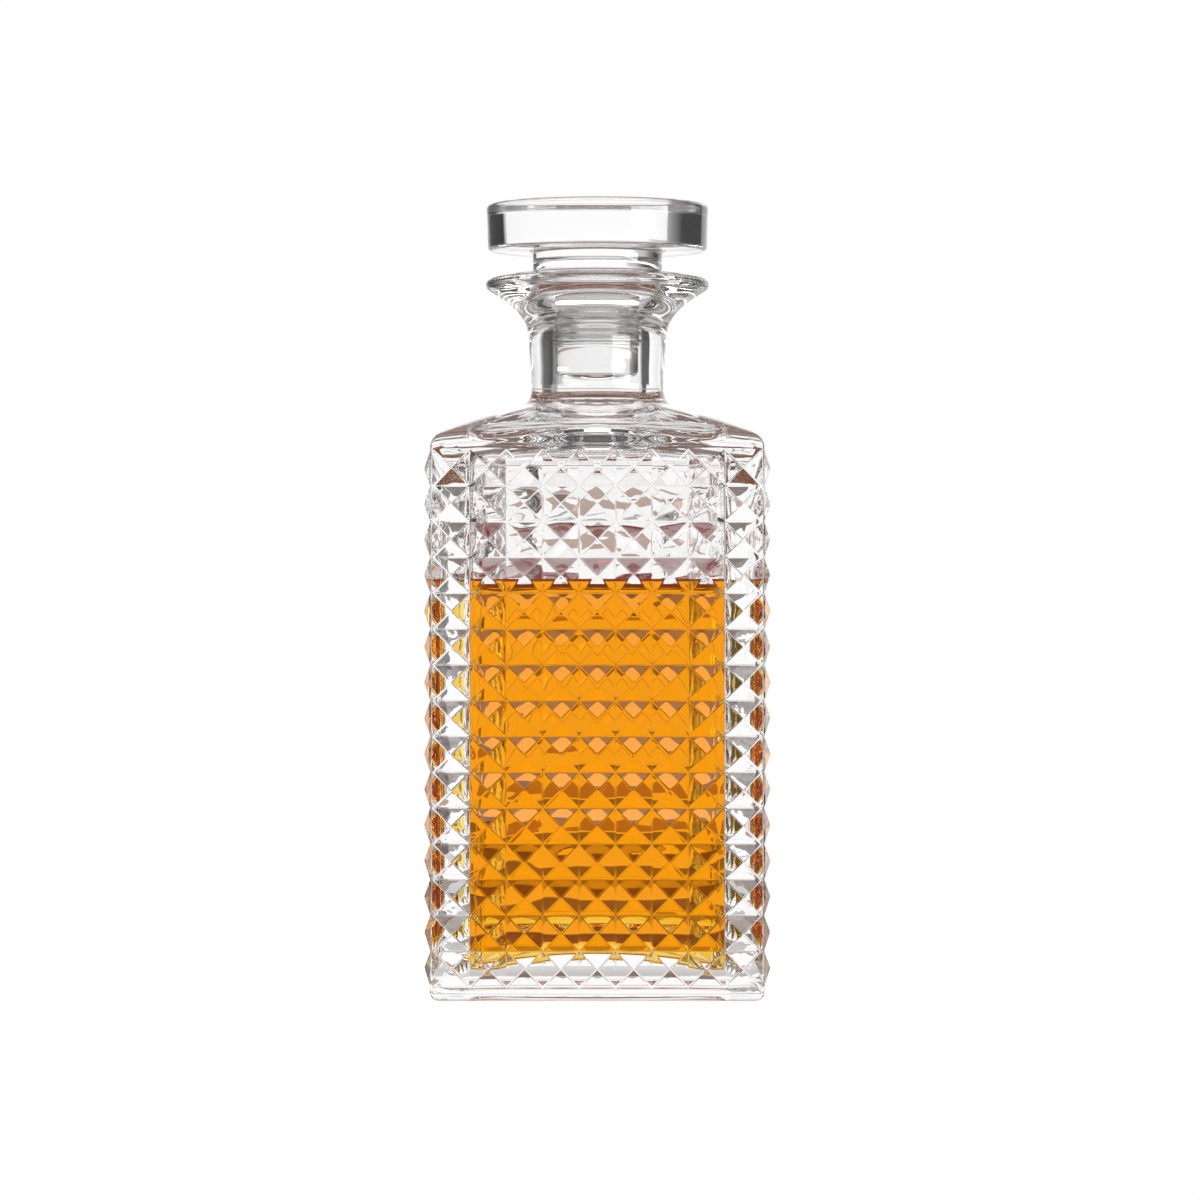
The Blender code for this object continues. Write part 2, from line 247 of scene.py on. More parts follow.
def wall_rings(half, top, steps):
    """Rings down the inner wall from a height to just above the floor; the waves fade at both ends."""
    rings = []
    for k in range(steps + 1):
        z = top + (WALL_FOOT - top) * k / steps
        fade = min(1.0, (z - WALL_FOOT) / WAVE_FADE, max(0.0, CAVITY_WALL_TOP - z) / WAVE_FADE)
        rings.append(inner_ring(half, 1.0, lambda _: z, wavy=fade))
    return rings


print("points in a ring:", RING)

# %% [markdown]
# ## Glass and whisky as materials
# Crystal bends light by 1.52. Where whisky lies against it, light goes from glass straight into
# liquid and bends much less: the ratio 1.52 / 1.36. So the wet inner faces have their own glass
# material with that ratio, and the whisky's own side walls bend nothing. Its free surface is an
# ordinary liquid surface. The colour is not on a surface at all: it is absorption inside the
# liquid, so a long way through it turns deep orange and a short way stays straw yellow.
# Pressed glass is never quite flat. A bump gives it faint waves everywhere and stronger ones in
# the upright corners, where the mould fills last. The sleeve is a slightly hazy clear plastic.

# %% Node helpers
NOISE_DETAIL = 1.5
WHITE = (1.0, 1.0, 1.0, 1.0)


def new_material(name):
    material = bpy.data.materials.new(name)
    material.use_nodes = True
    nodes = material.node_tree.nodes
    return material, nodes, material.node_tree.links, nodes["Principled BSDF"]


def add_math(nodes, links, operation, *values, clamp=False):
    """A Math node fed by numbers or sockets; gives its output."""
    node = nodes.new('ShaderNodeMath')
    node.operation = operation
    node.use_clamp = clamp
    for socket, value in zip(node.inputs, values):
        if isinstance(value, (int, float)):
            socket.default_value = value
        else:
            links.new(value, socket)
    return node.outputs[0]


def map_range(nodes, links, value, low, high):
    """0 at low, 1 at high, smooth between."""
    node = nodes.new('ShaderNodeMapRange')
    node.interpolation_type = 'SMOOTHSTEP'
    node.inputs["From Min"].default_value = low
    node.inputs["From Max"].default_value = high
    links.new(value, node.inputs["Value"])
    return node.outputs["Result"]


def in_degrees(nodes, links, angle):
    return add_math(nodes, links, 'MULTIPLY', angle, 180 / math.pi)


def add_place(nodes, links, kind="Object"):
    """Where a point lies: the place as a whole, then its X, Y and Z."""
    place = nodes.new('ShaderNodeTexCoord').outputs[kind]
    split = nodes.new('ShaderNodeSeparateXYZ')
    links.new(place, split.inputs[0])
    return place, split.outputs["X"], split.outputs["Y"], split.outputs["Z"]


def mix_colours(nodes, links, share, first, second):
    """From the first colour to the second; a colour is given as numbers or as a socket."""
    mix = nodes.new('ShaderNodeMix')
    mix.data_type = 'RGBA'
    links.new(share, mix.inputs["Factor"])
    for name, colour in (("A", first), ("B", second)):
        if isinstance(colour, tuple):
            mix.inputs[name].default_value = colour
        else:
            links.new(colour, mix.inputs[name])
    return mix.outputs["Result"]


def mix_shaders(nodes, links, share, first, second):
    mix = nodes.new('ShaderNodeMixShader')
    for socket, source in zip(mix.inputs, (share, first, second)):
        links.new(source, socket)
    return mix.outputs[0]


def add_noise(nodes, links, place, scale):
    """A soft noise in the piece's own coordinates."""
    waves = nodes.new('ShaderNodeTexNoise')
    waves.inputs["Scale"].default_value = scale
    waves.inputs["Detail"].default_value = NOISE_DETAIL
    links.new(place, waves.inputs["Vector"])
    return waves.outputs["Fac"]


def add_bump(nodes, links, shader, height):
    """Bump whose height is given in millimetres."""
    bump = nodes.new('ShaderNodeBump')
    bump.inputs["Strength"].default_value = 1.0
    bump.inputs["Distance"].default_value = MM
    links.new(height, bump.inputs["Height"])
    links.new(bump.outputs["Normal"], shader.inputs["Normal"])


# %% Glass, whisky and plastic
CRYSTAL_BEND = 1.52
WHISKY_BEND = 1.36
ABSORB_COLOUR = (0.99, 0.835, 0.12, 1.0)
ABSORB_DENSITY = 85.0
FAINT_SCALE = 60.0
FAINT_HEIGHT = 0.005
CORNER_SCALE = 190.0
CORNER_HEIGHT = 0.22
CORNER_WAVES_FROM = 38.0
CORNER_WAVES_FULL = 43.0
SLEEVE_COLOUR = (0.93, 0.94, 0.94, 1.0)
SLEEVE_ROUGHNESS = 0.12
SLEEVE_CLEARNESS = 0.95
SLEEVE_BEND = 1.5
SLEEVE_SCALE = 220.0
SLEEVE_HEIGHT = 0.018


def add_pressed_waviness(nodes, links, shader):
    """Faint waves everywhere and stronger ones in the upright corners, where the mould fills last."""
    place, across, deep, _ = add_place(nodes, links)
    aside = add_math(nodes, links, 'ABSOLUTE', across)
    ahead = add_math(nodes, links, 'ABSOLUTE', deep)
    nearer = add_math(nodes, links, 'MINIMUM', aside, ahead)
    in_corner = map_range(nodes, links, nearer, CORNER_WAVES_FROM * MM, CORNER_WAVES_FULL * MM)
    faint = add_math(nodes, links, 'MULTIPLY', add_noise(nodes, links, place, FAINT_SCALE), FAINT_HEIGHT)
    strong = add_math(nodes, links, 'MULTIPLY', add_noise(nodes, links, place, CORNER_SCALE), CORNER_HEIGHT)
    strong = add_math(nodes, links, 'MULTIPLY', strong, in_corner)
    add_bump(nodes, links, shader, add_math(nodes, links, 'ADD', faint, strong))


def see_through(shader, colour, roughness, weight, bend):
    """What every clear material sets; weight is the share of light that goes in."""
    shader.inputs["Base Color"].default_value = colour
    shader.inputs["Roughness"].default_value = roughness
    shader.inputs["Transmission Weight"].default_value = weight
    shader.inputs["IOR"].default_value = bend


def glass_material(name, bend):
    material, nodes, links, shader = new_material(name)
    see_through(shader, WHITE, 0.0, 1.0, bend)
    add_pressed_waviness(nodes, links, shader)
    return material


def whisky_material(name, bend):
    material, nodes, links, shader = new_material(name)
    see_through(shader, WHITE, 0.0, 1.0, bend)
    depth = nodes.new('ShaderNodeVolumeAbsorption')
    depth.inputs["Color"].default_value = ABSORB_COLOUR
    depth.inputs["Density"].default_value = ABSORB_DENSITY
    links.new(depth.outputs["Volume"], nodes["Material Output"].inputs["Volume"])
    return material


def sleeve_material():
    material, nodes, links, shader = new_material("clear_sleeve_plastic")
    see_through(shader, SLEEVE_COLOUR, SLEEVE_ROUGHNESS, SLEEVE_CLEARNESS, SLEEVE_BEND)
    noise = add_noise(nodes, links, add_place(nodes, links)[0], SLEEVE_SCALE)
    add_bump(nodes, links, shader, add_math(nodes, links, 'MULTIPLY', noise, SLEEVE_HEIGHT))
    return material


crystal = glass_material("crystal", CRYSTAL_BEND)
wet_crystal = glass_material("crystal_against_whisky", CRYSTAL_BEND / WHISKY_BEND)
whisky_wall = whisky_material("whisky_against_glass", 1.0)
whisky_surface = whisky_material("whisky_surface", WHISKY_BEND)
sleeve_plastic = sleeve_material()
print("materials so far:", ", ".join(material.name for material in bpy.data.materials))

# %% [markdown]
# ## The vessel's skin
# One closed skin runs from the middle of the underside, up the studded walls, over the shoulder,
# neck and lip, and down inside to the middle of the floor. Glass has to be closed like this: a ray
# bends where it enters and where it leaves, so a wall with no inside would look solid.
# The squares under the studs are marked with a face attribute, and so are the inner faces
# that the whisky wets.

# %% Floor, neck, mouth and ceiling
def floor_height(reach):
    """The floor is domed: highest in the middle and lowest in the corners."""
    corner_reach = (CAVITY_HALF - CAVITY_CORNER) * math.sqrt(2) + CAVITY_CORNER
    return FLOOR_CREST - (FLOOR_CREST - FLOOR_CORNER) * (reach / corner_reach) ** 2


def floor_rings(inset=0.0):
    """From the foot of the inner wall down round the rim and in to the middle of the floor."""
    half = CAVITY_HALF - inset
    rings = []
    for r, z in arc(half - FLOOR_ROUND, FLOOR_ROUND, FLOOR_ROUND, 0, -90, 9):
        rings.append(inner_ring(r, 1.0, lambda reach: floor_height(reach) + z + inset))
    for share in (0.8, 0.7, 0.58, 0.45, 0.3, 0.18, 0.08):
        rings.append(inner_ring(half * share, share, lambda reach: floor_height(reach) + inset))
    return rings


def outer_profile():
    """Round part of the outside, from the foot of the neck to the top of the lip."""
    line = bezier((NECK_FOOT_RADIUS, NECK_FOOT), (NECK_FOOT_RADIUS - 2.2, NECK_FOOT + 0.8),
                  (NECK_RADIUS, NECK_START - 3.6), (NECK_RADIUS, NECK_START), 12)
    line += bezier((NECK_RADIUS, NECK_START), (NECK_RADIUS, NECK_START + 5.0),
                   (NECK_TOP_RADIUS, FLARE_START - 5.0), (NECK_TOP_RADIUS, FLARE_START), 5)[1:]
    bead = arc(LIP_RADIUS - LIP_BEAD, LIP_BEAD_Z, LIP_BEAD, -62, 85, 18)
    line += bezier((NECK_TOP_RADIUS, FLARE_START), (NECK_TOP_RADIUS, FLARE_START + 0.5 * FLARE_RISE),
                   (NECK_TOP_RADIUS + 4.0, LIP_UNDER - 4.8), bead[0], 34)[1:]
    line += bead[1:]
    return line


def inner_profile():
    """Round part of the inside, from the top of the lip to the start of the ceiling."""
    rim = 1.2
    top = bezier((LIP_RADIUS - LIP_BEAD + 0.18, LIP_BEAD_Z + LIP_BEAD), (28.5, LIP_TOP - 0.2),
                 (24.0, LIP_TOP), (MOUTH_RADIUS + rim, LIP_TOP), 12)[1:]
    line = top + arc(MOUTH_RADIUS + rim, LIP_TOP - rim, rim, 90, 170, 6)[1:]
    line += bezier(line[-1], (MOUTH_RADIUS - 0.4, LIP_TOP - 4.0),
                   (BORE_RADIUS, LIP_TOP - 6.0), (BORE_RADIUS, LIP_TOP - MOUTH_DEPTH - 1.5), 20)[1:]
    straight_steps = 6
    for i in range(1, straight_steps + 1):
        line.append((BORE_RADIUS, line[-1][1] + (BORE_END - line[-1][1]) / (straight_steps + 1 - i)))
    return line


def ceiling_profile():
    """From the lower end of the bore out over the ceiling to the top of the inner wall."""
    turn = arc(CAVITY_HALF - CEILING_ROUND, CAVITY_WALL_TOP, CEILING_ROUND, 72, 0, 12)
    return bezier((BORE_RADIUS, BORE_END), (BORE_RADIUS, BORE_START - 4.4),
                  (24.0, turn[0][1] + 2.9), turn[0], 22)[1:] + turn[1:]


print("outline points: neck", len(outer_profile()), "mouth", len(inner_profile()),
      "ceiling", len(ceiling_profile()))

# %% All rings in order
UNDERSIDE_RECESS = 0.4
STANDING_WIDTH = 5.0
RECESS_EDGE = 2.5
MENISCUS_RISE = 0.9
CONTACT_LINE = WHISKY_LEVEL + MENISCUS_RISE
DRY_STEPS = 24
WET_STEPS = 60
CEILING_SQUARE_BY = 1.15
CEILING_EASE = 1.3


def vessel_rings():
    """Every ring of the skin in order, with the places where the studs and the wet part start and end."""
    marks = {}
    coarse = []
    for half, z in ((12.0, UNDERSIDE_RECESS), (30.0, UNDERSIDE_RECESS),
                    (FACE_HALF - BASE_ROUND - STANDING_WIDTH - RECESS_EDGE, UNDERSIDE_RECESS),
                    (FACE_HALF - BASE_ROUND - STANDING_WIDTH, 0.0)):
        coarse.append([(x, y, z) for x, y in square_points(half, 1)])
    for r, z in arc(FACE_HALF - BASE_ROUND, BASE_ROUND, BASE_ROUND, -90, 0, 7):
        coarse.append([(x, y, z) for x, y in square_points(r, 1)])
    marks["studs"] = len(coarse)
    for row in range(STUD_ROWS + 1):
        z = BASE_BAND + row * STUD_PITCH_UP
        coarse.append([(x, y, z) for x, y in square_points(FACE_HALF, 1)])
    fine = []
    for z in (STUDS_TOP + 0.7, STUDS_TOP + 2.0):
        drop = SHOULDER_CORNER_DROP * (z - STUDS_TOP) / SHOULDER_STRIP
        fine.append(mixed_ring(FACE_HALF, 1.0, z, drop))
    span = FACE_HALF - NECK_FOOT_RADIUS
    edge = arc(FACE_HALF - SHOULDER_ROUND, STRIP_TOP, SHOULDER_ROUND, 0, 72, 10)
    line = edge + bezier(edge[-1], (40.0, edge[-1][1] + 2.3), (31.0, NECK_FOOT - 2.6),
                         (NECK_FOOT_RADIUS, NECK_FOOT), 14)[1:-1]
    for r, z in line:
        share = (r - NECK_FOOT_RADIUS) / span
        fine.append(mixed_ring(NECK_FOOT_RADIUS, share, z, SHOULDER_CORNER_DROP))
    for r, z in outer_profile() + inner_profile():
        fine.append(mixed_ring(r, 0.0, z))
    for r, z in ceiling_profile():
        share = (r - BORE_RADIUS) / (CAVITY_HALF - BORE_RADIUS)
        fine.append(inner_ring(r, min(1.0, CEILING_SQUARE_BY * share) ** CEILING_EASE, lambda _: z))
    for k in range(1, DRY_STEPS):
        z = CAVITY_WALL_TOP + (CONTACT_LINE - CAVITY_WALL_TOP) * k / DRY_STEPS
        fade = min(1.0, (CAVITY_WALL_TOP - z) / WAVE_FADE)
        fine.append(inner_ring(CAVITY_HALF, 1.0, lambda _: z, wavy=fade))
    marks["wet"] = len(fine)
    fine += wall_rings(CAVITY_HALF, CONTACT_LINE, WET_STEPS)
    fine += floor_rings()
    return coarse, fine, marks


coarse_rings, fine_rings, ring_marks = vessel_rings()
print("rings:", len(coarse_rings), "coarse,", len(fine_rings), "fine, wet from", ring_marks["wet"])

# %% Skin builder
def add_ring(bm, ring):
    return [bm.verts.new([c * MM for c in point]) for point in ring]


def join_rings(bm, lower, upper):
    """Quads between two rings of the same number of points."""
    faces = []
    count = len(lower)
    for i in range(count):
        j = (i + 1) % count
        face = bm.faces.new((lower[i], lower[j], upper[j], upper[i]))
        face.smooth = True
        faces.append(face)
    return faces


def close_ring(bm, ring, height, at_start):
    """A fan from a ring to a point on the axis."""
    centre = bm.verts.new((0, 0, height * MM))
    faces = []
    count = len(ring)
    for i in range(count):
        j = (i + 1) % count
        corners = (centre, ring[j], ring[i]) if at_start else (ring[i], ring[j], centre)
        faces.append(bm.faces.new(corners))
        faces[-1].smooth = True
    return faces


def step_up(bm, coarse, fine):
    """Joins the last coarse ring to the first fine one: each column's top edge meets several points."""
    coarse_quarter = STUD_COLUMNS + CORNER_STEPS
    for side in range(4):
        c0, f0 = side * coarse_quarter, side * QUARTER
        for k in range(coarse_quarter):
            steps = SUB_STEPS if k < STUD_COLUMNS else 1
            f = f0 + (k * SUB_STEPS if k < STUD_COLUMNS else SIDE_STEPS + k - STUD_COLUMNS)
            upper = [fine[(f + n) % RING] for n in range(steps + 1)]
            lower = [coarse[c0 + k], coarse[(c0 + k + 1) % len(coarse)]]
            bm.faces.new(lower + list(reversed(upper))).smooth = True


def make_vessel_skin(coarse, fine, marks):
    bm = bmesh.new()
    foot = bm.faces.layers.int.new("stud_foot")
    wet = bm.faces.layers.int.new("wet")
    loops = [add_ring(bm, ring) for ring in coarse]
    close_ring(bm, loops[0], UNDERSIDE_RECESS, at_start=True)
    for n, (lower, upper) in enumerate(zip(loops, loops[1:])):
        faces = join_rings(bm, lower, upper)
        if n >= marks["studs"]:
            for i, face in enumerate(faces):
                face[foot] = int(i % (STUD_COLUMNS + CORNER_STEPS) < STUD_COLUMNS)
    fine_loops = [add_ring(bm, ring) for ring in fine]
    step_up(bm, loops[-1], fine_loops[0])
    for n, (lower, upper) in enumerate(zip(fine_loops, fine_loops[1:])):
        for face in join_rings(bm, lower, upper):
            face[wet] = int(n >= marks["wet"])
    for face in close_ring(bm, fine_loops[-1], FLOOR_CREST, at_start=False):
        face[wet] = 1
    mesh = bpy.data.meshes.new("vessel_glass")
    bm.to_mesh(mesh)
    bm.free()
    return mesh


vessel_mesh = make_vessel_skin(coarse_rings, fine_rings, ring_marks)
vessel = bpy.data.objects.new("vessel_glass", vessel_mesh)
scene.collection.objects.link(vessel)
print("plain skin:", len(vessel_mesh.polygons), "faces")

# %% [markdown]
# ## The studs
# Rows of equal pyramids cover all four faces. They repeat and follow one rule, so a small
# Geometry Nodes tree raises them: each marked square is extruded on its own, its top is shrunk
# to a point, and the edges between slanting facets get a weight for the Bevel that follows.
# Pressed glass never has knife edges, and the thin rounded lines are what catches the light.

# %% Geometry Nodes helpers
def new_tree(name, inputs):
    """An empty Geometry Nodes tree with named float or integer inputs."""
    tree = bpy.data.node_groups.new(name, 'GeometryNodeTree')
    tree.interface.new_socket("Geometry", in_out='INPUT', socket_type='NodeSocketGeometry')
    for label, kind, value in inputs:
        socket = tree.interface.new_socket(label, in_out='INPUT', socket_type=kind)
        socket.default_value = value
    tree.interface.new_socket("Geometry", in_out='OUTPUT', socket_type='NodeSocketGeometry')
    return tree, tree.nodes.new('NodeGroupInput'), tree.nodes.new('NodeGroupOutput')


def finish_tree(tree, result, geometry, material):
    """Every tree ends the same way: real geometry, and a material on it. Gives the geometry socket."""
    real = tree.nodes.new('GeometryNodeRealizeInstances')
    dressed = tree.nodes.new('GeometryNodeSetMaterial')
    dressed.inputs["Material"].default_value = material
    tree.links.new(geometry, real.inputs["Geometry"])
    tree.links.new(real.outputs["Geometry"], dressed.inputs["Geometry"])
    tree.links.new(dressed.outputs["Geometry"], result.inputs["Geometry"])
    return dressed.outputs["Geometry"]


def face_mark(tree, name):
    """True on the faces whose attribute of this name is 1."""
    mark = tree.nodes.new('GeometryNodeInputNamedAttribute')
    mark.data_type = 'INT'
    mark.inputs["Name"].default_value = name
    above = tree.nodes.new('FunctionNodeCompare')
    above.data_type = 'INT'
    above.operation = 'GREATER_THAN'
    tree.links.new(mark.outputs["Attribute"], above.inputs[2])
    return above.outputs[0]


def set_inputs(modifier, values):
    """Set a Geometry Nodes modifier's inputs by their sockets' identifiers."""
    for item in modifier.node_group.interface.items_tree:
        if item.item_type == 'SOCKET' and item.in_out == 'INPUT' and item.name in values:
            modifier[item.identifier] = values[item.name]


def make_plain(thing, name):
    """Bake an object's modifiers into a new plain mesh and drop the old object."""
    depsgraph = bpy.context.evaluated_depsgraph_get()
    mesh = bpy.data.meshes.new_from_object(thing.evaluated_get(depsgraph), preserve_all_data_layers=True,
                                           depsgraph=depsgraph)
    plain = bpy.data.objects.new(name, mesh)
    scene.collection.objects.link(plain)
    bpy.data.objects.remove(thing, do_unlink=True)
    mesh.name = name
    return plain


# %% Stud tree
RIDGE_ROUND = 0.32
WELD_DISTANCE = 2e-6
BOTH_SIDES = 0.99


def stud_tree():
    tree, source, result = new_tree("raise_studs", [("Stud Height", 'NodeSocketFloat', 0.002)])
    nodes, links = tree.nodes, tree.links
    raised = nodes.new('GeometryNodeExtrudeMesh')
    raised.mode = 'FACES'
    raised.inputs["Individual"].default_value = True
    links.new(source.outputs["Geometry"], raised.inputs["Mesh"])
    links.new(face_mark(tree, "stud_foot"), raised.inputs["Selection"])
    links.new(source.outputs["Stud Height"], raised.inputs["Offset Scale"])
    shrunk = nodes.new('GeometryNodeScaleElements')
    shrunk.inputs["Scale"].default_value = 0.0
    links.new(raised.outputs["Mesh"], shrunk.inputs["Geometry"])
    links.new(raised.outputs["Top"], shrunk.inputs["Selection"])
    facet = nodes.new('GeometryNodeStoreNamedAttribute')
    facet.data_type = 'FLOAT'
    facet.domain = 'FACE'
    facet.inputs["Name"].default_value = "facet"
    links.new(shrunk.outputs["Geometry"], facet.inputs["Geometry"])
    links.new(raised.outputs["Side"], facet.inputs["Value"])
    welded = nodes.new('GeometryNodeMergeByDistance')
    welded.inputs["Distance"].default_value = WELD_DISTANCE
    links.new(facet.outputs["Geometry"], welded.inputs["Geometry"])
    # on an edge, a face's mark is the mean of its two faces: 1 only where both are facets
    read = nodes.new('GeometryNodeInputNamedAttribute')
    read.data_type = 'FLOAT'
    read.inputs["Name"].default_value = "facet"
    ridge = nodes.new('FunctionNodeCompare')
    ridge.data_type = 'FLOAT'
    ridge.operation = 'GREATER_THAN'
    ridge.inputs[1].default_value = BOTH_SIDES
    links.new(read.outputs["Attribute"], ridge.inputs[0])
    weight = nodes.new('GeometryNodeStoreNamedAttribute')
    weight.data_type = 'FLOAT'
    weight.domain = 'EDGE'
    weight.inputs["Name"].default_value = "bevel_weight_edge"
    links.new(welded.outputs["Geometry"], weight.inputs["Geometry"])
    links.new(ridge.outputs[0], weight.inputs["Value"])
    all_crystal = finish_tree(tree, result, weight.outputs["Geometry"], crystal)
    against_whisky = nodes.new('GeometryNodeSetMaterial')
    against_whisky.inputs["Material"].default_value = wet_crystal
    links.new(all_crystal, against_whisky.inputs["Geometry"])
    links.new(face_mark(tree, "wet"), against_whisky.inputs["Selection"])
    links.new(against_whisky.outputs["Geometry"], result.inputs["Geometry"])
    return tree


studs = vessel.modifiers.new("studs", 'NODES')
studs.node_group = stud_tree()
set_inputs(studs, {"Stud Height": STUD_HEIGHT * MM})
bevel = vessel.modifiers.new("ridges", 'BEVEL')
bevel.limit_method = 'WEIGHT'
bevel.width = RIDGE_ROUND * MM
bevel.segments = 2
bevel.harden_normals = True
bevel.use_clamp_overlap = False
vessel = make_plain(vessel, "vessel_glass_piece")
wet_faces = sum(face.material_index for face in vessel.data.polygons)
print("studded vessel:", len(vessel.data.polygons), "faces,", wet_faces, "of them wet; box",
      [round(v / MM, 1) for v in vessel.dimensions])

# %% [markdown]
# ## The whisky
# The liquid is a closed body of its own, a hair inside the wet glass. Where its surface meets the
# glass it climbs a little, which draws the dark line round the vessel at the level.

# %% Whisky body
FILM = 0.03
MENISCUS_REACH = 1.5


def make_whisky_mesh():
    half = CAVITY_HALF - FILM
    bm = bmesh.new()
    surface = []
    for share in (0.1, 0.25, 0.45, 0.65, 0.8):
        surface.append(inner_ring(half * share, share, lambda _: WHISKY_LEVEL))
    for away in (5.0, 3.4, 2.4, 1.6, 1.0, 0.6, 0.3, 0.1):
        height = WHISKY_LEVEL + MENISCUS_RISE * math.exp(-away / MENISCUS_REACH)
        surface.append(inner_ring(half - away, 1.0, lambda _: height, wavy=math.exp(-away / MENISCUS_REACH)))
    wall = wall_rings(half, CONTACT_LINE, WET_STEPS)
    surface.append(wall[0])
    wall = wall[1:] + floor_rings(FILM)
    loops = [add_ring(bm, ring) for ring in reversed(surface)]
    top_centre = bm.verts.new((0, 0, WHISKY_LEVEL * MM))
    top_faces = []
    for outer, inner in zip(loops, loops[1:]):
        top_faces += join_rings(bm, outer, inner)
    for i in range(RING):
        top_faces.append(bm.faces.new((loops[-1][i], loops[-1][(i + 1) % RING], top_centre)))
    for face in top_faces:
        face.material_index = 1
        face.smooth = True
    wall_loops = [loops[0]] + [add_ring(bm, ring) for ring in wall]
    for upper, lower in zip(wall_loops, wall_loops[1:]):
        join_rings(bm, lower, upper)
    floor_centre = bm.verts.new((0, 0, (FLOOR_CREST + FILM) * MM))
    last = wall_loops[-1]
    for i in range(RING):
        bm.faces.new((floor_centre, last[(i + 1) % RING], last[i])).smooth = True
    mesh = bpy.data.meshes.new("whisky_body")
    bm.to_mesh(mesh)
    bm.free()
    mesh.materials.append(whisky_wall)
    mesh.materials.append(whisky_surface)
    return mesh


whisky = bpy.data.objects.new("whisky_body", make_whisky_mesh())
scene.collection.objects.link(whisky)
surface_faces = sum(face.material_index for face in whisky.data.polygons)
print("whisky:", len(whisky.data.polygons), "faces,", surface_faces, "of them free surface")

# %% [markdown]
# ## The stopper
# Head, stem and plug are turned from one outline, so a Screw modifier spins the profile about Z.
# The profile runs down the outside, which makes the faces point outward.

# %% Stopper
CLEARANCE = 0.3
STEM_FOOT = LIP_TOP + CLEARANCE
STEM_LENGTH = 6.7
HEAD_UNDER = STEM_FOOT + STEM_LENGTH
HEAD_THICK = 14.1
HEAD_TOP = HEAD_UNDER + HEAD_THICK
HEAD_RADIUS = 34.0
HEAD_TAPER = 0.4
HEAD_ROUND = 1.3
STEM_RADIUS = 19.8
STEM_FILLET = 1.6
STEM_ROUND = 0.9
COLLAR_RADIUS = 13.2
COLLAR_LENGTH = 8.0
SEAL_INNER = 12.2
SEAL_WALL = 0.7
SEAL_LENGTH = 14.2
SEAL_RIBS = 5
SEAL_TOP = STEM_FOOT - COLLAR_LENGTH - CLEARANCE
SEAL_FOOT = SEAL_TOP - SEAL_LENGTH
PLUG_TIP_RADIUS = 12.6
PLUG_TIP_LENGTH = 9.8
PLUG_TIP_ROUND = 2.0
PLUG_TIP_DOME = 1.0
PLUG_TIP_TOP = SEAL_FOOT - CLEARANCE
PLUG_END = PLUG_TIP_TOP - PLUG_TIP_LENGTH
GROOVE_GAP = 0.15
TURN_STEPS = 144


def stopper_profile():
    under = HEAD_RADIUS - HEAD_TAPER
    groove = SEAL_INNER - GROOVE_GAP
    points = [(0.0, HEAD_TOP - 0.15), (18.0, HEAD_TOP - 0.1), (28.0, HEAD_TOP)]
    points += arc(HEAD_RADIUS - HEAD_ROUND, HEAD_TOP - HEAD_ROUND, HEAD_ROUND, 90, 0, 8)
    points += arc(under - HEAD_ROUND, HEAD_UNDER + HEAD_ROUND, HEAD_ROUND, 0, -90, 8)
    points += arc(STEM_RADIUS + STEM_FILLET, HEAD_UNDER - STEM_FILLET, STEM_FILLET, 90, 180, 8)
    points += arc(STEM_RADIUS - STEM_ROUND, STEM_FOOT + STEM_ROUND, STEM_ROUND, 0, -90, 6)
    points += arc(COLLAR_RADIUS + STEM_FILLET, STEM_FOOT - STEM_FILLET, STEM_FILLET, 90, 180, 6)
    points += [(COLLAR_RADIUS, SEAL_TOP + 0.6), (COLLAR_RADIUS - 0.3, SEAL_TOP + 0.25),
               (groove, SEAL_TOP + 0.2), (groove, PLUG_TIP_TOP + 0.1),
               (PLUG_TIP_RADIUS - 0.15, PLUG_TIP_TOP - 0.1), (PLUG_TIP_RADIUS, PLUG_TIP_TOP - 0.5)]
    foot = PLUG_END + PLUG_TIP_DOME + PLUG_TIP_ROUND
    points += arc(PLUG_TIP_RADIUS - PLUG_TIP_ROUND, foot, PLUG_TIP_ROUND, 0, -80, 8)
    points += bezier(points[-1], (8.0, PLUG_END + 0.35), (4.0, PLUG_END), (0.0, PLUG_END), 8)[1:]
    return points


def turned(name, profile):
    """Spin a profile of (r, z) points about Z and bake it to a plain mesh."""
    mesh = bpy.data.meshes.new(name)
    edges = [(i, i + 1) for i in range(len(profile) - 1)]
    mesh.from_pydata([(r * MM, 0.0, z * MM) for r, z in profile], edges, [])
    thing = bpy.data.objects.new(name, mesh)
    scene.collection.objects.link(thing)
    screw = thing.modifiers.new("turn", 'SCREW')
    screw.axis = 'Z'
    screw.steps = screw.render_steps = TURN_STEPS
    screw.use_merge_vertices = True
    screw.merge_threshold = 1e-6
    screw.use_smooth_shade = True
    return make_plain(thing, name + "_piece")


stopper = turned("stopper_glass", stopper_profile())
stopper.data.materials.append(crystal)
print("stopper:", len(stopper.data.polygons), "faces")

# %% [markdown]
# ## The ribbed sleeve
# A soft clear sleeve on the plug seals the neck. It is a short tube whose ribs repeat, so the
# tube's rib bands are marked and a Geometry Nodes tree raises and narrows them.

# %% Sleeve
RIB_FOOT = 1.5
RIB_TIP_SHARE = 0.3
RIB_CLEARANCE = 0.12
RIB_HEIGHT = BORE_RADIUS - RIB_CLEARANCE - SEAL_INNER - SEAL_WALL
CHAMFER_IN = 0.2
CHAMFER_UP = 0.25
SLEEVE_SOFTEN = 0.1
SLEEVE_STEPS = 96


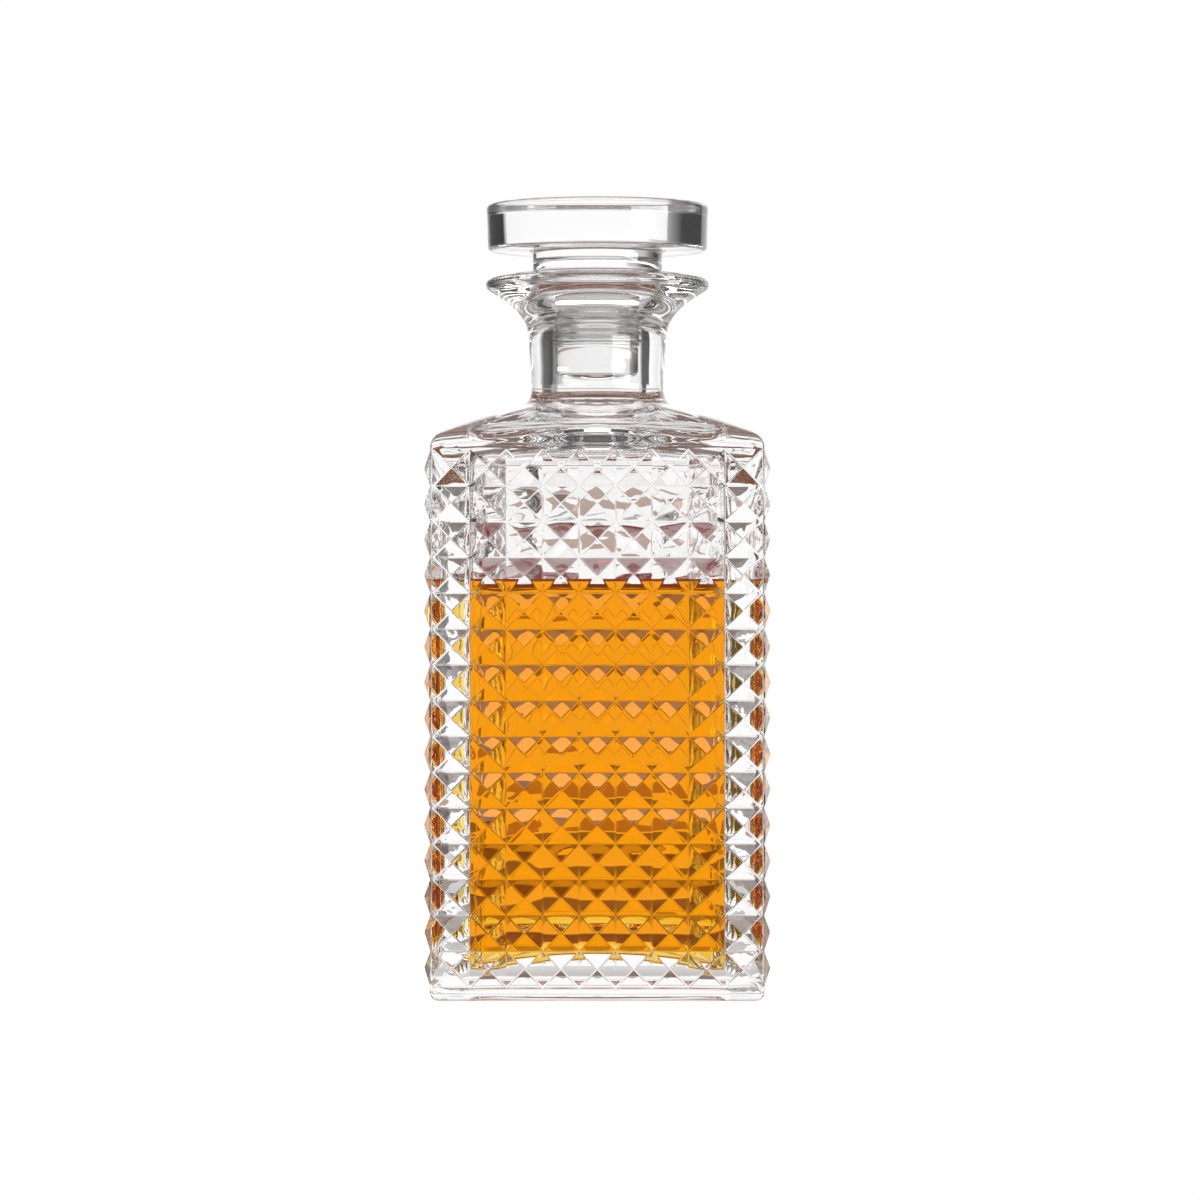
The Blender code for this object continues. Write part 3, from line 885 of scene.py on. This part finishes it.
def make_sleeve_tube():
    outer = SEAL_INNER + SEAL_WALL
    pitch = SEAL_LENGTH / SEAL_RIBS
    line = [(SEAL_INNER, SEAL_FOOT, 0), (outer - CHAMFER_IN, SEAL_FOOT, 0),
            (outer, SEAL_FOOT + CHAMFER_UP, 0)]
    for n in range(SEAL_RIBS):
        middle = SEAL_FOOT + pitch * (n + 0.5)
        line += [(outer, middle - RIB_FOOT / 2, 1), (outer, middle + RIB_FOOT / 2, 0)]
    line += [(outer, SEAL_TOP - CHAMFER_UP, 0), (outer - CHAMFER_IN, SEAL_TOP, 0),
             (SEAL_INNER, SEAL_TOP, 0)]
    bm = bmesh.new()
    band = bm.faces.layers.int.new("rib_band")
    loops = []
    turns = [2 * math.pi * i / SLEEVE_STEPS for i in range(SLEEVE_STEPS)]
    for r, z, _ in line:
        loops.append(add_ring(bm, [(r * math.cos(turn), r * math.sin(turn), z) for turn in turns]))
    for n, (lower, upper) in enumerate(zip(loops, loops[1:] + loops[:1])):
        for face in join_rings(bm, lower, upper):
            face[band] = line[n][2]
    mesh = bpy.data.meshes.new("sleeve_tube")
    bm.to_mesh(mesh)
    bm.free()
    return mesh


def rib_tree():
    tree, source, result = new_tree("raise_ribs", [("Rib Height", 'NodeSocketFloat', 0.0007),
                                                   ("Tip Share", 'NodeSocketFloat', 0.3)])
    nodes, links = tree.nodes, tree.links
    raised = nodes.new('GeometryNodeExtrudeMesh')
    raised.mode = 'FACES'
    raised.inputs["Individual"].default_value = False
    links.new(source.outputs["Geometry"], raised.inputs["Mesh"])
    links.new(face_mark(tree, "rib_band"), raised.inputs["Selection"])
    links.new(source.outputs["Rib Height"], raised.inputs["Offset Scale"])
    narrow = nodes.new('GeometryNodeScaleElements')
    narrow.scale_mode = 'SINGLE_AXIS'
    narrow.inputs["Axis"].default_value = (0, 0, 1)
    links.new(raised.outputs["Mesh"], narrow.inputs["Geometry"])
    links.new(raised.outputs["Top"], narrow.inputs["Selection"])
    links.new(source.outputs["Tip Share"], narrow.inputs["Scale"])
    finish_tree(tree, result, narrow.outputs["Geometry"], sleeve_plastic)
    return tree


sleeve = bpy.data.objects.new("sleeve_tube", make_sleeve_tube())
scene.collection.objects.link(sleeve)
ribs = sleeve.modifiers.new("ribs", 'NODES')
ribs.node_group = rib_tree()
set_inputs(ribs, {"Rib Height": RIB_HEIGHT * MM, "Tip Share": RIB_TIP_SHARE})
soften = sleeve.modifiers.new("soften", 'BEVEL')
soften.width = SLEEVE_SOFTEN * MM
soften.segments = 2
soften.limit_method = 'ANGLE'
soften.angle_limit = math.radians(30)
soften.harden_normals = True
sleeve = make_plain(sleeve, "sealing_sleeve")
print("sleeve:", len(sleeve.data.polygons), "faces, radius", round(sleeve.dimensions.x / MM / 2, 2))

# %% [markdown]
# ## Which piece rides on which body
# The vessel and the whisky stay on the table. The sleeve and the stopper lift out together,
# and the stopper can turn inside the sleeve.

# %% Ride and replace
for piece, body, node, slot in ((vessel, "vessel", "decanter_body", "crystal"),
                                (whisky, "vessel", "whisky", "whisky"),
                                (sleeve, "seal", "stopper_seal", "seal_plastic"),
                                (stopper, "stopper", "stopper", "crystal")):
    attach(piece, body)
    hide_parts(node)
    print(piece.name, "rides on", body)

# %% [markdown]
# ## The table
# Clear glass has no colour of its own: it shows what is round it, so the surroundings are part of
# the material. The camera sees a plain pale table. What the glass sees behind the decanter is a
# dark glossy board. For these rays the table is not lit but glows with painted light: close to the
# decanter the board is painted warm, as light that has come through the whisky; rays that leave
# the studs slanting down meet it, and it turns their facets brown. Flat rays find the bright wall
# mirrored in it. Further out, to the sides and in front, grey paper lies in its place; near the
# decanter it stays dark, a painted shade.

# %% Table top
TABLE_RADIUS = 0.6
TABLE_DROP = 0.0002

table_mesh = bpy.data.meshes.new("table")
bm = bmesh.new()
bmesh.ops.create_circle(bm, cap_ends=True, segments=96, radius=TABLE_RADIUS)
bm.to_mesh(table_mesh)
bm.free()
table = bpy.data.objects.new("table", table_mesh)
table.location.z = -TABLE_DROP
scene.collection.objects.link(table)
print("table reaches", TABLE_RADIUS, "m")

# %% Table material
TABLE_LIFT = 0.75
TABLE_FADE = (0.16, 0.45)
# painted light: the warm colour near the decanter stands in for light that has come through the whisky; the
# board glows instead of being lit
PAINTED_AMBER_LIGHT_COLOUR = (0.19, 0.10, 0.07, 1)
BOARD_COLOUR = (0.16, 0.115, 0.10, 1)
PAPER_COLOUR = (0.5, 0.49, 0.48, 1)
PAINTED_AMBER_LIGHT_REACH = (0.10, 0.24)
# painted shade: near the decanter the paper stays dark, and only further out does it glow grey
PAPER_REACH = (0.16, 0.30)
BOARD_HALF_ANGLE = (36, 58)
BOARD_ROUGHNESS = 0.08
BOARD_BEND = 1.5


def table_material():
    """A pale table for the camera; for every other ray a dark glossy board that glows with painted light:
    warm near the decanter as light through the whisky, painted shade there, grey paper further out.
    """
    material, nodes, links, shader = new_material("pale_table")
    shader.inputs["Base Color"].default_value = (0.8, 0.8, 0.8, 1.0)
    shader.inputs["Roughness"].default_value = 0.7
    shader.inputs["Specular IOR Level"].default_value = 0.2
    shader.inputs["Emission Color"].default_value = WHITE
    shader.inputs["Emission Strength"].default_value = TABLE_LIFT
    place, across, deep, _ = add_place(nodes, links)
    length = nodes.new('ShaderNodeVectorMath')
    length.operation = 'LENGTH'
    links.new(place, length.inputs[0])
    distance = length.outputs["Value"]
    clear = nodes.new('ShaderNodeBsdfTransparent').outputs[0]
    fade = map_range(nodes, links, distance, *TABLE_FADE)
    seen_by_camera = mix_shaders(nodes, links, fade, shader.outputs[0], clear)
    # painted light: warm near the decanter, standing in for light that has come through the whisky
    near_to_far = map_range(nodes, links, distance, *PAINTED_AMBER_LIGHT_REACH)
    painted_amber_light = mix_colours(nodes, links, near_to_far, PAINTED_AMBER_LIGHT_COLOUR, BOARD_COLOUR)
    aside = add_math(nodes, links, 'ARCTAN2', across, deep)
    aside = in_degrees(nodes, links, add_math(nodes, links, 'ABSOLUTE', aside))
    off_board = map_range(nodes, links, aside, *BOARD_HALF_ANGLE)
    # painted shade: the paper only comes in away from the decanter
    far_out = map_range(nodes, links, distance, *PAPER_REACH)
    on_paper = add_math(nodes, links, 'MULTIPLY', off_board, far_out)
    glow = nodes.new('ShaderNodeEmission')
    links.new(mix_colours(nodes, links, on_paper, painted_amber_light, PAPER_COLOUR), glow.inputs["Color"])
    gloss = nodes.new('ShaderNodeBsdfGlossy')
    gloss.inputs["Roughness"].default_value = BOARD_ROUGHNESS
    fresnel = nodes.new('ShaderNodeFresnel')
    fresnel.inputs["IOR"].default_value = BOARD_BEND
    seen_by_glass = mix_shaders(nodes, links, fresnel.outputs[0], glow.outputs[0], gloss.outputs[0])
    to_camera = nodes.new('ShaderNodeLightPath').outputs["Is Camera Ray"]
    both = mix_shaders(nodes, links, to_camera, seen_by_glass, seen_by_camera)
    links.new(both, nodes["Material Output"].inputs["Surface"])
    return material


table_mesh.materials.append(table_material())
print("table colours:", PAINTED_AMBER_LIGHT_COLOUR, BOARD_COLOUR, PAPER_COLOUR)

# %% [markdown]
# ## The light tent
# A bottle is lit from behind by a wide bright field; darker stretches of the tent's wall on both
# sides of it draw the outline of the glass in grey. The tent is a real wall round the table, not a
# patch of sky, because a ray that leaves a high stud slanting down still meets the wall where one
# from a low stud meets the table. The wall's brightness goes by direction, in degrees round
# the decanter: 0 is straight behind it and 90 on the right. Higher up, where the neck and stopper
# look, the bright field is narrower. A mauve strip just above the level of the whisky is a painted
# reflection: it stands in for the whisky's surface seen in the side facets above the level. A
# strong box high on the right puts the upright streak on the head and neck.

# %% Tent wall
TENT_RADIUS = 0.55
TENT_HEIGHT = 0.45

tent_mesh = bpy.data.meshes.new("light_tent")
bm = bmesh.new()
bmesh.ops.create_cone(bm, cap_ends=False, segments=128, depth=TENT_HEIGHT,
                      radius1=TENT_RADIUS, radius2=TENT_RADIUS)
bm.to_mesh(tent_mesh)
bm.free()
tent = bpy.data.objects.new("light_tent", tent_mesh)
tent.location.z = TENT_HEIGHT / 2
tent.visible_camera = False
tent.visible_shadow = False
scene.collection.objects.link(tent)
print("tent wall:", TENT_HEIGHT, "m high")

# %% Light on the wall
# pairs of (direction in degrees, strength)
WALL_LIGHT = (
    (-180, 0.16), (-128, 0.16), (-122, 0.4), (-108, 0.45), (-102, 0.5), (-68, 0.5), (-60, 0.12), (-40, 0.12),
    (-29, 0.3), (-26, 1.05), (52, 1.05), (55, 0.08), (76, 0.08), (82, 0.5), (106, 0.5), (112, 0.35),
    (124, 0.35), (130, 0.16), (180, 0.16),
)
HIGH_WALL_LIGHT = (
    (-180, 0.08), (-60, 0.05), (-36, 0.06), (-29, 0.28), (-25, 0.55), (-20, 0.62), (-17, 1.05),
    (41, 1.05), (45, 0.04), (100, 0.08), (180, 0.08),
)
HIGH_WALL = (0.195, 0.225)
# painted reflection: a mauve strip on the wall that stands in for the whisky's surface seen in the side
# facets above the level
PAINTED_REFLECTION_HEIGHT = (0.125, 0.151)
PAINTED_REFLECTION_COLOUR = (0.53, 0.4, 0.34, 1)
SIDE_BOX_TURN = (104.0, 146.0)
SIDE_BOX_HEIGHT = (0.21, 0.30)
SIDE_BOX_STRENGTH = 9.0


def light_ramp(nodes, links, share, stretches):
    """Brightness round the wall; share is 0 to 1 once round, 0.5 straight behind."""
    ramp = nodes.new('ShaderNodeValToRGB')
    elements = ramp.color_ramp.elements
    while len(elements) < len(stretches):
        elements.new(0.5)
    for element, (direction, strength) in zip(elements, stretches):
        element.position = direction / 360 + 0.5
        element.color = (strength, strength, strength, 1)
    links.new(share, ramp.inputs[0])
    return ramp.outputs["Color"]


def between(nodes, links, value, limits):
    """1 where the value lies between two limits, 0 elsewhere."""
    above = add_math(nodes, links, 'GREATER_THAN', value, limits[0])
    below = add_math(nodes, links, 'LESS_THAN', value, limits[1])
    return add_math(nodes, links, 'MULTIPLY', above, below)


def tent_material():
    material, nodes, links, shader = new_material("tent_cloth")
    _, across, deep, up = add_place(nodes, links)
    turn = add_math(nodes, links, 'ARCTAN2', across, deep)
    share = add_math(nodes, links, 'MULTIPLY_ADD', turn, 1 / (2 * math.pi), 0.5)
    height = add_math(nodes, links, 'ADD', up, TENT_HEIGHT / 2)
    # the mauve strip is a painted reflection of the whisky's surface
    low_wall = mix_colours(nodes, links, between(nodes, links, height, PAINTED_REFLECTION_HEIGHT),
                           light_ramp(nodes, links, share, WALL_LIGHT), PAINTED_REFLECTION_COLOUR)
    whole_wall = mix_colours(nodes, links, map_range(nodes, links, height, *HIGH_WALL),
                             low_wall, light_ramp(nodes, links, share, HIGH_WALL_LIGHT))
    wall = nodes.new('ShaderNodeEmission')
    links.new(whole_wall, wall.inputs["Color"])
    in_turn = between(nodes, links, in_degrees(nodes, links, turn), SIDE_BOX_TURN)
    in_box = add_math(nodes, links, 'MULTIPLY', in_turn, between(nodes, links, height, SIDE_BOX_HEIGHT))
    box = nodes.new('ShaderNodeEmission')
    links.new(add_math(nodes, links, 'MULTIPLY', in_box, SIDE_BOX_STRENGTH), box.inputs["Strength"])
    both = nodes.new('ShaderNodeAddShader')
    links.new(wall.outputs[0], both.inputs[0])
    links.new(box.outputs[0], both.inputs[1])
    links.new(both.outputs[0], nodes["Material Output"].inputs["Surface"])
    nodes.remove(shader)
    return material


tent_mesh.materials.append(tent_material())
print("stretches of wall light:", len(WALL_LIGHT) - 1, "low,", len(HIGH_WALL_LIGHT) - 1, "high")

# %% [markdown]
# ## Above the tent
# Over the wall's upper edge the glass sees the room: a soft box high in front, which puts the
# sheen on the upper facets of the studs, a dimmer stretch behind that carries on the tent's field,
# and a weak light overhead. They are patches of the world, each given by its direction, its size
# in degrees and its strength. The camera itself sees plain white.

# %% World
# name: (degrees round, half width, elevation, half height, soft edge, strength)
CARDS = {
    "high_field": (12, 42, 30, 20, 6, 0.4),
    "front_top_box": (180, 50, 30, 9.5, 6, 3.2),
    "top_box": (0, 180, 80, 20, 10, 0.8),
}
ROOM_DARK = 0.10

world = bpy.data.worlds.new("studio")
scene.world = world
world.use_nodes = True
nodes, links = world.node_tree.nodes, world.node_tree.links
_, across, deep, up = add_place(nodes, links, "Generated")
azimuth = in_degrees(nodes, links, add_math(nodes, links, 'ARCTAN2', across, deep))
elevation = in_degrees(nodes, links, add_math(nodes, links, 'ARCSINE', up))


def card_light(centre_az, half_az, centre_el, half_el, soft, strength):
    """Strength inside the card, 0 outside it, with a soft edge."""
    shares = []
    for angle, centre, half in ((azimuth, centre_az, half_az), (elevation, centre_el, half_el)):
        away = add_math(nodes, links, 'SUBTRACT', angle, float(centre))
        away = add_math(nodes, links, 'ABSOLUTE', add_math(nodes, links, 'WRAP', away, 180.0, -180.0))
        inside = add_math(nodes, links, 'SUBTRACT', half + soft / 2, away)
        shares.append(add_math(nodes, links, 'DIVIDE', inside, float(soft), clamp=True))
    both = add_math(nodes, links, 'MULTIPLY', *shares)
    return add_math(nodes, links, 'MULTIPLY', both, float(strength))


total = ROOM_DARK
for card in CARDS.values():
    total = add_math(nodes, links, 'ADD', card_light(*card), total)
seen = nodes.new('ShaderNodeLightPath')
strength = add_math(nodes, links, 'MAXIMUM', total, seen.outputs["Is Camera Ray"])
nodes["Background"].inputs["Color"].default_value = WHITE
links.new(strength, nodes["Background"].inputs["Strength"])
print("cards:", ", ".join(CARDS))
